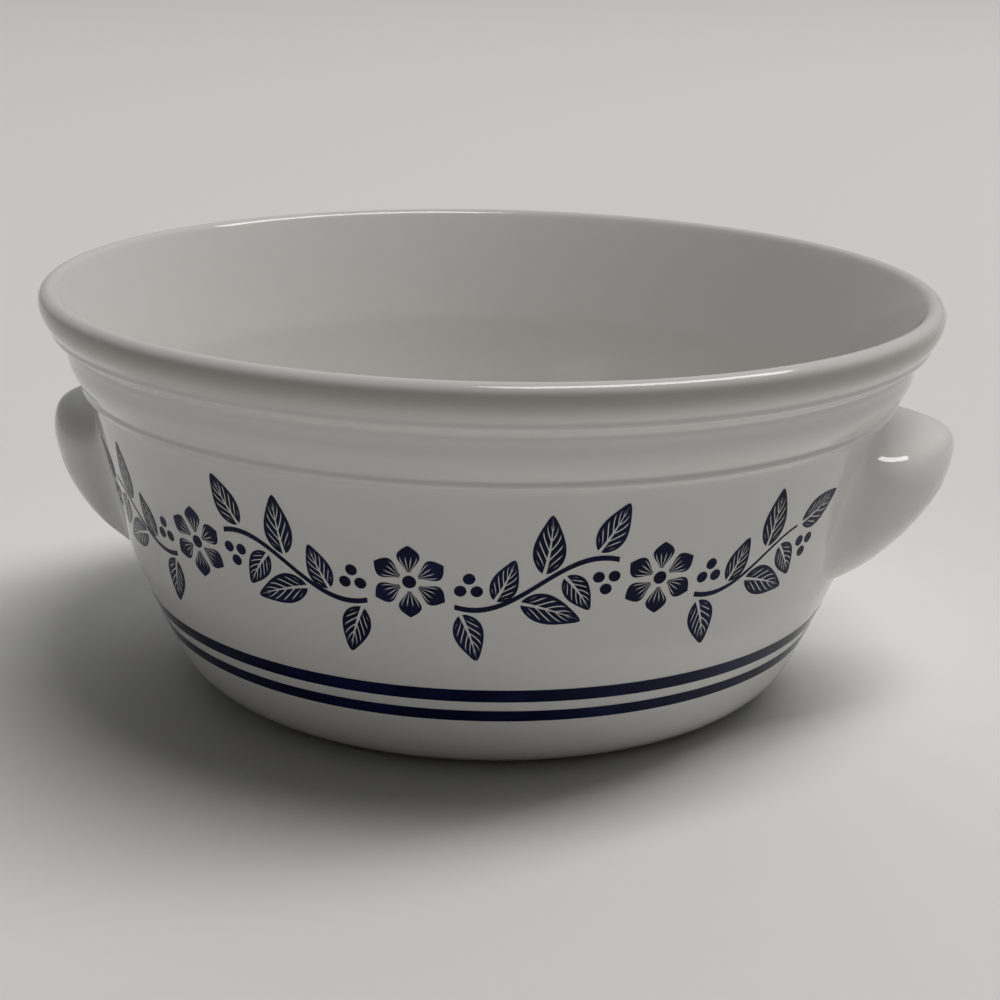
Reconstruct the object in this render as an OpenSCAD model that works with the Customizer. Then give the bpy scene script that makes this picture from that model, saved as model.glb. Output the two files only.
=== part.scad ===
// Soup bowl of white glazed stoneware: a full rim over a stepped collar,
// a tapered wall that turns in above two printed bands, a foot ring,
// two solid side lugs and a printed garland between them.
// Z is up and the foot stands on z = 0. The lugs lie along X.
// The garland is on the front, which faces -Y. Sizes are in millimetres.

/* [Rim] */
// Outer diameter over the rim
rim_d = 160; // [144:1:176]
// Overall height of the bowl
bowl_h = 72; // [68:0.2:80]
// Thickness of the rim's rounded edge
lip_d = 3.6; // [3:0.1:4.2]
// How far the rim's outer face bulges down before it turns in
rim_full = 3; // [2.4:0.1:3.6]

/* [Collar] */
// Height from the upper ridge to the top of the rim
ridge_drop = 7; // [6.6:0.1:7.8]
// How far the upper ridge stands in from the rim
ridge_in = 1.7; // [1.4:0.1:2.2]
// How much further in the lower ridge stands
ridge_step = 2.4; // [2:0.1:2.8]
// Thickness of each fine ridge
ridge_t = 1.1; // [0.9:0.05:1.3]
// Height between the two ridges
ridge_pitch = 2.6; // [2.2:0.05:3]
// How far a ridge stands proud of the collar
ridge_proud = 0.4; // [0.3:0.05:0.5]
// Height of the collar, from its lowest edge to the top of the rim
collar_h = 18.05; // [17:0.05:19]
// How far the collar's lower edge stands out from the wall
collar_step = 1.25; // [0.9:0.05:1.6]
// How far the collar's outside bulges
collar_full = 1.4; // [0.8:0.1:1.8]
// Thickness of the bead along the collar's lower edge
bead_t = 1.5; // [1.2:0.05:1.8]
// Depth of the groove above that bead
groove_deep = 0.3; // [0.2:0.05:0.4]

/* [Wall] */
// How far the top of the wall stands in from the rim
wall_in = 7.85; // [7:0.05:8.6]
// How far the wall stands in from the rim where it turns in
belt_in = 14.6; // [13:0.1:16]
// Height at which the wall turns in towards the foot
belt_h = 24.3; // [23:0.1:26]
// Radius of that turn
belt_r = 20; // [12:0.5:24]
// Thickness of the wall
wall_t = 4.3; // [3.6:0.1:5]
// Height from the inner bend to the top of the rim
flare_drop = 21.6; // [19:0.1:24]
// Fullness of the flared inside of the rim
flare_full = 0.9; // [0.4:0.1:1.4]

/* [Foot] */
// How far the foot stands in from the rim
foot_in = 32.9; // [31:0.1:34]
// Radius of the lower outside corner
corner_r = 12; // [10:0.1:13]
// Width of the foot ring that the bowl rests on
foot_w = 3.6; // [2.6:0.1:5]
// Depth of the recess inside the foot ring
foot_deep = 1.8; // [1:0.1:2.4]
// Thickness of the floor
floor_t = 4.8; // [4:0.1:6]
// Radius between the floor and the wall, inside
floor_r = 20; // [15:0.5:23]

/* [Lugs] */
// How far a lug stands out from the wall
lug_deep = 13; // [11:0.5:15]
// Gap between the collar and the top of the right lug
lug_drop = 3.8; // [3:0.05:4.4]
// Height from the furthest point of a lug to its top
lug_shoulder = 7.7; // [6:0.1:9]
// Gap between the upper band and the right lug's lower end
lug_heel_gap = 6.6; // [6:0.05:8]
// Width of a lug, measured round the bowl's side
lug_w = 45.6; // [40:0.2:48]
// Radius of the hollow between the lug's side and the wall
lug_flare = 3.7; // [3:0.1:5]
// Radius of the hollow between the lug's top and the wall
lug_top_flare = 1.8; // [1:0.1:2]
// How much lower the left lug sits than the right one
left_lug_low = 3.4; // [0:0.1:3.8]
// Layer of slip that holds a lug on the wall
lug_slip = 0.05; // [0.04:0.01:0.1]

/* [Bands] */
// Gap from the turn of the wall down to the upper band
band_drop = 6.25; // [5.6:0.05:6.6]
// Width of the upper band
upper_w = 2.45; // [1.8:0.05:2.8]
// Width of the lower band
lower_w = 2.15; // [1.6:0.05:2.4]
// White gap between the two bands
band_gap = 1.85; // [1.4:0.05:2.2]
// Thickness of the printed colour
print_t = 0.1; // [0.06:0.01:0.2]

/* [Garland] */
// Height from the middle of the garland to the collar's lower edge
garland_drop = 16.35; // [15.5:0.05:17]
// Half the height of the stem's waves
wave_h = 4.4; // [3.4:0.1:4.8]
// Width of the stem
stem_w = 0.9; // [0.7:0.05:1.1]
// Length of a leaf
leaf_len = 10.6; // [9:0.1:11.4]
// Width of a leaf
leaf_w = 5.2; // [4.4:0.1:5.6]
// White vein along the middle of a leaf
vein_w = 0.6; // [0.4:0.05:0.7]
// Gap between the printed shapes
ink_gap = 0.6; // [0.45:0.05:0.8]
// Diameter of a flower
flower_d = 12.6; // [11:0.1:13.4]
// Diameter of the dot in the middle of a flower
flower_eye = 2.2; // [1.8:0.1:2.6]
// Diameter of a berry
berry_d = 1.9; // [1.4:0.05:2.1]
// Distance from the stem to the middle of a bunch of berries
berry_off = 4; // [3.8:0.1:4.2]

/* [Hidden] */
$fn = 180;

// Steps along a full turn, a bead, a soft bend and the rim's edge
arc_step = 9;
bead_steps = 10;
bend_steps = 8;
lip_steps = 26;

// Angle up to which a ridge is round, above and below its middle
ridge_a = 50;

// Radii of the rim, the wall, the turn and the foot
rim_r = rim_d / 2;
wall_top_r = rim_r - wall_in;
turn_r = rim_r - belt_in;
foot_r = rim_r - foot_in;

// Heights of the collar's edge and of the two ridges
collar_z = bowl_h - collar_h;
ridge_z = bowl_h - ridge_drop;
ridge_low_z = ridge_z - ridge_pitch;
ridge_r = rim_r - ridge_in;
ridge_low_r = ridge_r - ridge_step;
collar_r = wall_top_r + collar_step;

// The wall's two slopes, as angles from upright
wall_a = atan2(wall_top_r - turn_r, collar_z - belt_h);
foot_reach = norm([turn_r - foot_r, belt_h - corner_r]);
foot_a = atan2(turn_r - foot_r, belt_h - corner_r) - asin(corner_r / foot_reach);

// The turn between them: where it starts and ends, and its middle
belt_tangent = belt_r * tan((foot_a - wall_a) / 2);
belt_low_z = belt_h - belt_tangent * cos(foot_a);
belt_top_z = belt_h + belt_tangent * cos(wall_a);
turn_c = [turn_r - belt_tangent * sin(foot_a) - belt_r * cos(foot_a),
    belt_low_z + belt_r * sin(foot_a)];

// Inside of the bowl
in_gap = wall_t / cos(wall_a);
floor_z = foot_deep + floor_t;
bend_z = bowl_h - flare_drop;
lip_in_a = 156;

// Places of the bands
upper_top_z = belt_h - band_drop;
upper_low_z = upper_top_z - upper_w;
lower_top_z = upper_low_z - band_gap;
lower_low_z = lower_top_z - lower_w;

// Places of the lugs, the steps of their mesh, and the powers that say how
// square a curve is: 2 is an ellipse, and more is squarer
lug_top_z = collar_z - lug_drop;
lug_tip_z = lug_top_z - lug_shoulder;
lug_low_z = upper_top_z + lug_heel_gap;
lug_around = 72;
lug_flare_steps = 5;
lug_nose_steps = 12;
lug_seat_steps = 14;
lug_top_power = 4.6;
lug_sweep_power = 1.43;
lug_side_power = 2.25;
lug_crown_power = 4.8;
lug_crown_tip_power = 1.9;
lug_heel_power = 4.3;

// Layout of the garland: its steps round the bowl, and the place of each
// leaf as a share of a step's half width, with its side, its turn away
// from the stem and its share of a leaf's full size
garland_step = 33;
garland_z = collar_z - garland_drop;
step_half = wall_r(garland_z) * sin(garland_step / 2);
leaf_place_shares = [-0.6, -0.33, -0.18, 0.06, 0.18, 0.46];
leaf_size_shares = [0.86, 0.76, 1, 1, 0.72, 0.9];
leaf_sides = [-1, 1, -1, 1, -1, 1];
leaf_turns = [50, 40, 42, 42, 78, 48];
leaf_bend_share = 0.14;
leaf_belly_share = 0.72;
leaf_root_share = 0.06;
slim_share = 0.35;
end_leaf_share = 0.95;
end_leaf_turn = 8;
berry_place_shares = [-0.54, 0.55];
berry_sides = [1, -1];
petals = 6;
petal_w_share = 0.8;
petal_belly_share = 1.35;
leaf_steps = 9;
stem_steps = 28;
stem_end_share = 0.4;
stem_tip_share = 0.4;

// Radius of the wall's upper slope at height z
function wall_r(z) = turn_r + (z - belt_h) * tan(wall_a);

// Radius of the wall's lower slope at height z
function low_r(z) = turn_r - (belt_h - z) * tan(foot_a);

// Radius of the outside at height z, anywhere from the corner to the collar
function side_r(z) = z > belt_top_z ? wall_r(z) : z < belt_low_z ? low_r(z)
    : turn_c[0] + sqrt(belt_r * belt_r - pow(z - turn_c[1], 2));

// Points of an arc, from angle a to angle b
function arc(c, r, a, b, steps) =
    [for (i = [0:steps]) let (t = a + (b - a) * i / steps) c + r * [cos(t), sin(t)]];

// Points of a curve that leaves p towards c and arrives at q from c
function bow(p, c, q, steps) =
    [for (i = [0:steps]) let (t = i / steps)
        (1 - t) * (1 - t) * p + 2 * t * (1 - t) * c + t * t * q];

// Outside of the bowl, from the foot up to the rounded edge of the rim
function outside() = let (
        bead_r = bead_t / 2,
        bead_c = [collar_r - bead_r, collar_z + bead_r],
        rise = ridge_t / 2,
        low_c = [ridge_low_r - rise, ridge_low_z],
        high_c = [ridge_r - rise, ridge_z],
        collar_low = [collar_r - groove_deep, collar_z + bead_t],
        collar_top = [ridge_low_r - ridge_proud, ridge_low_z - rise],
        step_low = [ridge_low_r - ridge_proud, ridge_low_z + rise],
        step_top = [ridge_r - ridge_proud, ridge_z - rise],
        face_low = [ridge_r - ridge_proud, ridge_z + rise],
        lip_r = lip_d / 2,
        lip_c = [rim_r - lip_r, bowl_h - lip_r]
    ) concat(
        arc([foot_r, corner_r], corner_r, -90, -foot_a, arc_step),
        arc(turn_c, belt_r, -foot_a, -wall_a, bend_steps),
        [[wall_top_r, collar_z]],
        arc(bead_c, bead_r, -80, 70, bead_steps),
        bow(collar_low, (collar_low + collar_top) / 2 + [collar_full, 0], collar_top, bend_steps),
        arc(low_c, rise, -ridge_a, ridge_a, bead_steps),
        bow(step_low, (step_low + step_top) / 2 + groove_deep * [-1, 1], step_top, bend_steps),
        arc(high_c, rise, -ridge_a, ridge_a, bead_steps),
        bow(face_low, [rim_r, lip_c[1] - rim_full], [rim_r, lip_c[1]], bend_steps),
        arc(lip_c, lip_r, lip_in_a / lip_steps, lip_in_a, lip_steps - 1));

// Inside of the bowl, from the rim down to the middle of the floor
function inside() = let (
        lip_r = lip_d / 2,
        lip_end = [rim_r - lip_r, bowl_h - lip_r] + lip_r * [cos(lip_in_a), sin(lip_in_a)],
        bend = [wall_r(bend_z) - in_gap, bend_z],
        middle = (lip_end + bend) / 2 + flare_full * [-1, 1],
        sweep_z = floor_z + floor_r,
        tangent_z = sweep_z - floor_r * sin(wall_a),
        sweep_c = [wall_r(tangent_z) - in_gap - floor_r * cos(wall_a), sweep_z]
    ) concat(
        bow(lip_end, middle, bend, bend_steps),
        arc(sweep_c, floor_r, -wall_a, -90, 2 * bend_steps),
        [[0, floor_z]]);

// Underside, from the middle out to the foot ring
function underside() =
    [[0, foot_deep], [foot_r - foot_w - foot_deep, foot_deep], [foot_r - foot_w, 0]];

// One thin ring of colour on the lower slope, from z = low to z = top
module band(low, top) {
    grow = print_t / cos(foot_a);
    rotate_extrude() polygon([[low_r(low), low], [low_r(low) + grow, low],
        [low_r(top) + grow, top], [low_r(top), top]]);
}

// A skin of colour's thickness all over the turn and the upper slope
module wall_skin() {
    grow = print_t / cos(wall_a);
    rotate_extrude() polygon(concat(
        arc(turn_c, belt_r, -foot_a, -wall_a, bend_steps),
        [[wall_top_r, collar_z], [wall_top_r + grow, collar_z]],
        arc(turn_c, belt_r + print_t, -wall_a, -foot_a, bend_steps)));
}

// Share of its full size that a rounded form keeps at share s of its reach
function kept(s, power) = pow(max(0, 1 - pow(s, power)), 1 / power);

// How far a squared loop reaches at angle a, against 1 along its two axes
function squared(a, power) = pow(pow(abs(cos(a)), power) + pow(abs(sin(a)), power), -1 / power);

// How much a hollow of radius r adds to a lug's side or top, u out from the wall
function hollow_at(u, r) = u < r ? r - sqrt(r * r - pow(r - u, 2)) : 0;

// Point of a lug at distance u from the wall and angle a round its loop,
// drawn in to a share of the loop. The loop bends with the wall behind it, and
// its upper half grows rounder towards the tip
function lug_point(u, a, share, low) = let (
        s = u / lug_deep,
        upper = sin(a) > 0,
        crown = lug_crown_power + (lug_crown_tip_power - lug_crown_power) * sqrt(s),
        spread = share * squared(a, upper ? crown : lug_heel_power),
        reach = upper ? lug_shoulder * kept(s, lug_top_power) + hollow_at(u, lug_top_flare)
            : (lug_tip_z - lug_low_z) * kept(s, lug_sweep_power),
        wide = lug_w / 2 * kept(s, lug_side_power) + hollow_at(u, lug_flare),
        y = wide * spread * cos(a),
        z = lug_tip_z - low + reach * spread * sin(a)
    ) [sqrt(pow(side_r(z), 2) - y * y) + lug_slip + u, y, z];

// Distances of a lug's loops from the wall: along the flare, then to the nose
function lug_levels() = concat(
    [for (i = [0:lug_flare_steps]) lug_flare * (1 - cos(90 * i / lug_flare_steps))],
    [for (i = [1:lug_nose_steps - 1])
        lug_flare + (lug_deep - lug_flare) * sin(90 * i / lug_nose_steps)]);

// One lug on the +X side: loops from the middle of its seat out to its edge,
// then away from the wall to the tip, closed by a point at each end
module lug(low) {
    levels = lug_levels();
    loops = concat(
        [for (k = [1:lug_seat_steps - 1]) [0, k / lug_seat_steps]],
        [for (u = levels) [u, 1]]);
    n = lug_around;
    last = len(loops) * n;
    points = concat(
        [for (at = loops) for (i = [0:n - 1]) lug_point(at[0], 360 * i / n, at[1], low)],
        [lug_point(0, 0, 0, low), lug_point(lug_deep, 0, 0, low)]);
    faces = concat(
        [for (j = [0:len(loops) - 2]) for (i = [0:n - 1])
            let (a = j * n + i, b = j * n + (i + 1) % n) each [[a, a + n, b + n], [a, b + n, b]]],
        [for (i = [0:n - 1]) [last, i, (i + 1) % n]],
        [for (i = [0:n - 1]) [last + 1, last - n + (i + 1) % n, last - n + i]]);
    polyhedron(points, faces);
}

// Keeps a flat drawing as colour on the wall, a turn of az round from the front
module printed(az) {
    rotate([0, 0, az]) intersection() {
        wall_skin();
        translate([0, -turn_r * cos(garland_step), 0]) rotate([90, 0, 0])
            linear_extrude(rim_r - turn_r * cos(garland_step)) translate([0, garland_z])
                children();
    }
}

// Height of the stem's wave, and its slope as an angle, at x
function wave(x) = wave_h * sin(180 * x / step_half);
function wave_turn(x) = atan(wave_h / step_half * PI * cos(180 * x / step_half));

// Half of a leaf along +X, on the side that side gives, with its vein left bare
function leaf_edge(len, wide, side) = let (
        root = leaf_root_share,
        line = [for (i = [0:leaf_steps]) let (t = root + (1 - root) * i / leaf_steps)
            [len * t, leaf_bend_share * len * t * t]]
    ) concat(
        [for (i = [0:leaf_steps]) line[i] + [0, side * vein_w / 2 * (1 - i / leaf_steps)]],
        [for (i = [leaf_steps - 1:-1:1]) let (t = i / leaf_steps)
            line[i] + [0, side * (vein_w / 2 + (wide - vein_w) / 2
                * sin(180 * pow(t, leaf_belly_share)))]]);

module leaf(len, wide) {
    for (side = [-1, 1]) polygon(leaf_edge(len, wide, side));
}

// Stem of one step: a full wave between two flowers, tapered where it ends free
module stem(free) {
    start = -step_half + flower_d / 2 + ink_gap;
    end = free ? step_half * stem_end_share : -start;
    taper = free ? 1 - stem_tip_share : 0;
    line = [for (i = [0:stem_steps]) let (x = start + (end - start) * i / stem_steps)
        [x, wave(x), stem_w / 2 * (1 - taper * i / stem_steps)]];
    polygon(concat([for (p = line) [p[0], p[1] + p[2]]],
        [for (i = [stem_steps:-1:0]) [line[i][0], line[i][1] - line[i][2]]]));
}

// Leaves of one step, set along the stem on both of its sides. A free end has
// a leaf at its tip in place of the last one
module leaves(free) {
    off = (stem_w + ink_gap) / 2;
    for (i = [0:len(leaf_place_shares) - (free ? 2 : 1)]) {
        x = leaf_place_shares[i] * step_half;
        side = leaf_sides[i];
        size = leaf_size_shares[i];
        translate([x, wave(x)]) rotate(wave_turn(x)) translate([0, side * off])
            rotate(side * leaf_turns[i]) mirror([0, side < 0 ? 1 : 0, 0])
                leaf(leaf_len * size, leaf_w * (slim_share + (1 - slim_share) * size));
    }
    if (free) {
        x = step_half * stem_end_share + ink_gap;
        translate([x, wave(x)]) rotate(wave_turn(x) + end_leaf_turn)
            leaf(leaf_len * end_leaf_share, leaf_w);
    }
}

// Berries of one step, in threes in the hollows of the wave
module berries() {
    for (i = [0:len(berry_place_shares) - 1]) {
        x = berry_place_shares[i] * step_half;
        side = berry_sides[i];
        translate([x, wave(x) + side * berry_off])
            for (k = [-1:1]) rotate(side * 90 + k * 120)
                translate([(berry_d + ink_gap) / sqrt(3), 0]) circle(d = berry_d);
    }
}

// One flower: petals round a dot
module flower() {
    start = flower_eye / 2 + ink_gap;
    reach = flower_d / 2 - start;
    wide = petal_w_share * 2 * PI * (start + reach / 2) / petals;
    circle(d = flower_eye);
    for (k = [0:petals - 1]) rotate(k * 360 / petals + 90) translate([start, 0])
        polygon([for (i = [0:2 * leaf_steps - 1])
            let (t = i / leaf_steps, s = t <= 1 ? t : 2 - t, side = t <= 1 ? 1 : -1)
            [reach * s, side * wide / 2 * sin(180 * pow(s, petal_belly_share))
                + side * (1 - s) * ink_gap / 2]]);
}

// Runs its drawing through the steps of the garland: two to the right of
// the front, and their mirror image to the left
module steps_right() { printed(garland_step / 2) children(); }
module steps_left() { printed(-garland_step / 2) mirror([1, 0, 0]) children(); }
module outer_right() { printed(1.5 * garland_step) children(); }
module outer_left() { printed(-1.5 * garland_step) mirror([1, 0, 0]) children(); }

module bowl_body() {
    color("whitesmoke") rotate_extrude()
        polygon(concat(underside(), outside(), inside()));
}

module left_lug() {
    color("gainsboro") rotate([0, 0, 180]) lug(left_lug_low);
}

module right_lug() {
    color("gainsboro") lug(0);
}

module upper_band() {
    color("midnightblue") band(upper_low_z, upper_top_z);
}

module lower_band() {
    color("midnightblue") band(lower_low_z, lower_top_z);
}

module garland_stems() {
    color("midnightblue") {
        steps_right() stem(false);
        steps_left() stem(false);
        outer_right() stem(true);
        outer_left() stem(true);
    }
}

module garland_leaves() {
    color("navy") {
        steps_right() leaves(false);
        steps_left() leaves(false);
        outer_right() leaves(true);
        outer_left() leaves(true);
    }
}

module garland_flowers() {
    color("darkblue") for (k = [-1:1]) printed(k * garland_step) flower();
}

module garland_berries() {
    color("navy") {
        steps_right() berries();
        steps_left() berries();
        outer_right() berries();
        outer_left() berries();
    }
}

bowl_body();
left_lug();
right_lug();
upper_band();
lower_band();
garland_stems();
garland_leaves();
garland_flowers();
garland_berries();
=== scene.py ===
# %% [markdown]
# # A soup bowl of white glazed stoneware
# The real bowl is formed from one piece of clay, and two solid lugs are joined to its sides
# with slip. Two dark blue bands and a garland are printed on it, and one glossy glaze covers
# everything but the foot ring. This lesson makes each of those pieces as a surface that is
# worked out with numpy, and then gives the pieces their finishes.
#
# ## The fixed frame
# The construction model says how large each piece is and where it sits. It is loaded first
# and never moved. Sizes are read from it where it shows them, so nothing is fitted later.

import math

import bmesh
import bpy
import numpy as np
from mathutils import Matrix, Vector


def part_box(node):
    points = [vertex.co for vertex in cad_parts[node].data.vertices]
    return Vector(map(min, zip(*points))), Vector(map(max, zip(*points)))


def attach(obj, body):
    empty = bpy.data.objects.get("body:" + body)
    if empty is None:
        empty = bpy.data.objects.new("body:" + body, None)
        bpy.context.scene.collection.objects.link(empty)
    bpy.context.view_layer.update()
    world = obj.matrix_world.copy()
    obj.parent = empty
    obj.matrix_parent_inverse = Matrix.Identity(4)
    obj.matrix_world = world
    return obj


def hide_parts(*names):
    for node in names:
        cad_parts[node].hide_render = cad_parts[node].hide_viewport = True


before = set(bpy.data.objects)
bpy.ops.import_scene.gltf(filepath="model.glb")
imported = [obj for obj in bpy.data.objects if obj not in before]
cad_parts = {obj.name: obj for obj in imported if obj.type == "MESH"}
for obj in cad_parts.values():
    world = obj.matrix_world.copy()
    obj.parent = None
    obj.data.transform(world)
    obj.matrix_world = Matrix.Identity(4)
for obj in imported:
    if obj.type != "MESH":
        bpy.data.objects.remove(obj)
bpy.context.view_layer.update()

# %% [markdown]
# ## Sizes
# Blender works in metres and a potter in millimetres, so each size is a number of
# millimetres times MM. The outer sizes come from the frame's boxes. The small sizes of
# ridges, beads and print are those of the construction model, under the same names.

# %% Sizes of the bowl
MM = 0.001
_, body_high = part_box("bowl_body")
rim_r = round(body_high.y / MM) * MM
bowl_h = body_high.z
lip_r = 1.8 * MM
rim_full = 3 * MM

ridge_drop = 7 * MM
ridge_in = 1.7 * MM
ridge_step = 2.4 * MM
ridge_t = 1.1 * MM
ridge_pitch = 2.6 * MM
ridge_proud = 0.4 * MM
collar_h = 18.05 * MM
collar_step = 1.25 * MM
collar_full = 1.4 * MM
bead_t = 1.5 * MM
groove_deep = 0.3 * MM

wall_in = 7.85 * MM
belt_in = 14.6 * MM
belt_h = 24.3 * MM
belt_r = 20 * MM
wall_t = 4.3 * MM
flare_drop = 21.6 * MM
flare_full = 0.9 * MM

foot_in = 32.9 * MM
corner_r = 12 * MM
foot_w = 3.6 * MM
foot_deep = 1.8 * MM
floor_t = 4.8 * MM
floor_r = 20 * MM

wall_top_r = rim_r - wall_in
turn_r = rim_r - belt_in
foot_r = rim_r - foot_in
collar_z = bowl_h - collar_h
ridge_z = bowl_h - ridge_drop
ridge_low_z = ridge_z - ridge_pitch
ridge_r = rim_r - ridge_in
ridge_low_r = ridge_r - ridge_step
collar_r = wall_top_r + collar_step
bend_z = bowl_h - flare_drop
inner_floor_z = foot_deep + floor_t
wall_a = math.atan2(wall_top_r - turn_r, collar_z - belt_h)
foot_a = math.atan2(turn_r - foot_r, belt_h - corner_r) - math.asin(
    corner_r / math.hypot(turn_r - foot_r, belt_h - corner_r)
)
print(f"rim radius {rim_r / MM:.1f} mm, height {bowl_h / MM:.1f} mm")
print(f"wall leans {math.degrees(wall_a):.1f} degrees, foot slope {math.degrees(foot_a):.1f}")

# %% [markdown]
# ## The camera
# The bowl was seen from a little above its rim, with its lugs turned a few degrees from
# square. A camera can be aimed by eye, but a picture of a round rim gives its place well:
# the ellipse's height gives the slope of the view, and the way that the bowl narrows gives
# the distance. The place found like that is written here as a distance, a height and turns.

# %% Camera at the photograph's angle
CAMERA_AWAY = 355.1 * MM
CAMERA_UP = 140.05 * MM
CAMERA_ROUND = math.radians(10)
CAMERA_YAW = 0.0059
CAMERA_PITCH = -0.3002
CAMERA_ROLL = 0.0223
CAMERA_LENS = 72
CAMERA_NEAREST = 10 * MM


def aimed_camera():
    """A camera with its axes worked out from the turns: it looks along yaw and pitch, and is
    then rolled about that line. Its place and its look are turned round the bowl together."""
    flat = math.cos(CAMERA_PITCH)
    look = np.array([math.sin(CAMERA_YAW) * flat, math.cos(CAMERA_YAW) * flat,
                     math.sin(CAMERA_PITCH)])
    right = np.cross(look, [0, 0, 1])
    right /= np.linalg.norm(right)
    up = np.cross(right, look)
    rolled_right = math.cos(CAMERA_ROLL) * right + math.sin(CAMERA_ROLL) * up
    rolled_up = math.cos(CAMERA_ROLL) * up - math.sin(CAMERA_ROLL) * right
    aim = Matrix((rolled_right, rolled_up, -look)).transposed().to_4x4()
    aim.translation = (0, -CAMERA_AWAY, CAMERA_UP)
    camera = bpy.data.objects.new("camera", bpy.data.cameras.new("camera"))
    camera.data.lens = CAMERA_LENS
    camera.data.clip_start = CAMERA_NEAREST
    camera.matrix_world = Matrix.Rotation(CAMERA_ROUND, 4, "Z") @ aim
    bpy.context.scene.collection.objects.link(camera)
    return camera


bpy.context.scene.camera = aimed_camera()
print("camera at", [round(x, 4) for x in bpy.context.scene.camera.matrix_world.translation])

# %% [markdown]
# ## From a grid of points to a piece
# Every piece below is a grid: one parameter runs along it and the other across or round it.
# The helper turns such a grid into quads. Where rows shrink to a point, as in the middle of
# the floor or at a leaf's tip, the doubled points are merged, which closes the pole. The
# normals are worked out after that, so mirrored shapes also face outwards.

# %% Grids and pieces
SAME_PLACE = 0.0002 * MM
SHARP_ANGLE = math.radians(38)


def grid_quads(rows, columns, rows_close=False, columns_close=False):
    """Corner numbers of the quads of a grid whose point (i, j) is number i * columns + j.
    A direction that closes joins its last line to its first."""
    i = np.arange(rows if rows_close else rows - 1)[:, None]
    j = np.arange(columns if columns_close else columns - 1)[None, :]
    i_next = (i + 1) % rows
    j_next = (j + 1) % columns
    corners = [i * columns + j, i * columns + j_next,
               i_next * columns + j_next, i_next * columns + j]
    return np.stack(np.broadcast_arrays(*corners), axis=-1).reshape(-1, 4)


def piece_from(name, points, quads, attributes=None):
    """An object at the origin from points in metres and quads. Attributes are arrays with
    one value a point, or with two where they are flat coordinates of a pattern."""
    mesh = bpy.data.meshes.new(name)
    mesh.vertices.add(len(points))
    mesh.vertices.foreach_set("co", points.astype(np.float32).ravel())
    mesh.loops.add(quads.size)
    mesh.loops.foreach_set("vertex_index", quads.astype(np.int32).ravel())
    mesh.polygons.add(len(quads))
    mesh.polygons.foreach_set("loop_start", np.arange(0, quads.size, 4, dtype=np.int32))
    mesh.update(calc_edges=True)
    for label, values in (attributes or {}).items():
        kind, field = ("FLOAT2", "vector") if values.ndim == 2 else ("FLOAT", "value")
        layer = mesh.attributes.new(label, kind, "POINT")
        layer.data.foreach_set(field, values.astype(np.float32).ravel())
    work = bmesh.new()
    work.from_mesh(mesh)
    bmesh.ops.remove_doubles(work, verts=work.verts, dist=SAME_PLACE)
    bmesh.ops.dissolve_degenerate(work, edges=work.edges, dist=SAME_PLACE)
    bmesh.ops.recalc_face_normals(work, faces=work.faces)
    odd_edges = sum(not edge.is_manifold for edge in work.edges)
    work.to_mesh(mesh)
    work.free()
    mesh.shade_smooth()
    mesh.set_sharp_from_angle(angle=SHARP_ANGLE)
    piece = bpy.data.objects.new(name, mesh)
    bpy.context.scene.collection.objects.link(piece)
    print(f"{name}: {len(mesh.vertices)} points, {len(mesh.polygons)} faces, "
          f"{odd_edges} edges that don't join just two faces")
    return piece


print(f"points nearer than {SAME_PLACE / MM:.4f} mm are merged")

# %% [markdown]
# ## The bowl's outline
# A potter sees a bowl as one line turned on the wheel. The line starts in the middle of the
# underside, goes round the foot ring, up the wall, over the bead, ridges and rim, and
# down the inside to the middle of the floor. Arcs and short bows in order give that line,
# so a change of one size moves all that hangs on it.

# %% Arcs and bows
ARC_STEPS = 40


def arc(centre, radius, start, end):
    """Points of an arc: the centre plus the radius times (cos a, sin a), with the angle a
    running from start to end, in degrees."""
    angle = np.radians(np.linspace(start, end, ARC_STEPS))
    return np.array(centre) + radius * np.stack([np.cos(angle), np.sin(angle)], axis=-1)


def bow(first, pull, last):
    """A quadratic curve that leaves first towards pull and arrives at last from pull."""
    t = np.linspace(0, 1, ARC_STEPS)[:, None]
    return (1 - t) ** 2 * first + 2 * t * (1 - t) * pull + t ** 2 * last


print(f"each arc and bow has {ARC_STEPS} points")

# %% [markdown]
# ## Outside
# From the foot up, the outside has a wide rounded corner, a soft turn above the bands, the
# straight wall, the bead that ends the collar, the bulged collar, two ridges that step
# outwards, and the cove under the rim. The rim's edge is round, apart from a narrow flat
# that draws out the light on it.

# %% Outline of the outside
LIP_IN_ANGLE = 156
LIP_FLAT_AT = math.radians(53)
LIP_FLAT_HALF = math.radians(34)
LIP_FLAT_SHARE = 0.068
RIDGE_ANGLE = 50
BEAD_LOW_ANGLE = -80
BEAD_HIGH_ANGLE = 70


def lip_arc():
    """The rim's edge: an arc whose radius dips by a small share, as cos squared, where it
    faces up and out. That leaves the narrow flat that a wet sponge wipes along an edge."""
    angle = np.radians(np.linspace(0, LIP_IN_ANGLE, ARC_STEPS))
    off = np.clip((angle - LIP_FLAT_AT) / LIP_FLAT_HALF, -1, 1)
    radius = lip_r * (1 - LIP_FLAT_SHARE * np.cos(off * np.pi / 2) ** 2)
    return np.stack([rim_r - lip_r + radius * np.cos(angle),
                     bowl_h - lip_r + radius * np.sin(angle)], axis=-1)


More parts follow.
